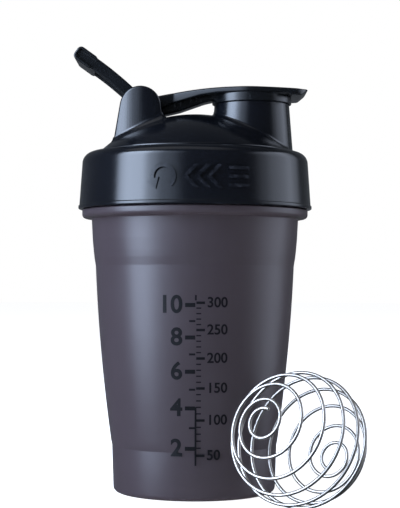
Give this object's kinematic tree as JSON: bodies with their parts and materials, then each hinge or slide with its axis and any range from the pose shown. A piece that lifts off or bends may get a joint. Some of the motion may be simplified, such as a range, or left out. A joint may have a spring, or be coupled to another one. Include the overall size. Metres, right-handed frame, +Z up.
{
  "type": "protein shaker bottle",
  "caption": "Shaker bottle: tapered smoky cup, dark screw-on lid with a side spout, flip cap and carry loop, and a loose spiral wire whisk ball beside it.",
  "frame": {"origin": "centre of the cup's foot, on the surface it stands on", "axes": "+Z up along the cup's axis; +X from the hinge towards the spout; the whisk ball stands on the +X, -Y side"},
  "size_m": [0.1172, 0.1244, 0.1843],
  "materials": {
    "cup_plastic": "smoky translucent plastic, frosted satin",
    "lid_plastic": "near-black moulded plastic, satin gloss",
    "seal_rubber": "pale grey silicone, matt",
    "ball_wire": "bright drawn stainless wire"
  },
  "bodies": {
    "cup": {"cup": "cup_plastic"},
    "seal": {"lid_seal": "seal_rubber"},
    "lid": {"lid": "lid_plastic"},
    "cap": {"flip_cap": "lid_plastic"},
    "loop": {"carry_loop": "lid_plastic"},
    "ball": {"whisk_ball": "ball_wire"}
  },
  "joints": [
    {"name": "lid_rise", "type": "slide", "parent": "cup", "child": "seal", "axis": [0, 0, 1], "range_m": [0, 0.024]},
    {"name": "lid_turn", "type": "hinge", "parent": "seal", "child": "lid", "pos_m": [0, 0, 0.13], "axis": [0, 0, 1], "range_deg": [0, 1080]},
    {"name": "cap_flip", "type": "hinge", "parent": "lid", "child": "cap", "pos_m": [-0.0225, 0, 0.161], "axis": [0, -1, 0], "range_deg": [0, 98]},
    {"name": "loop_swing", "type": "hinge", "parent": "lid", "child": "loop", "pos_m": [-0.0225, 0, 0.161], "axis": [0, -1, 0], "range_deg": [-10, 55]},
    {"name": "whisk_away", "type": "slide", "parent": "cup", "child": "ball", "axis": [0.6331, -0.7741, 0], "range_m": [0, 0.15]}
  ],
  "couplings": [
    {"joint": "lid_rise", "follows": "lid_turn", "m_per_rad": 0.0012732}
  ]
}
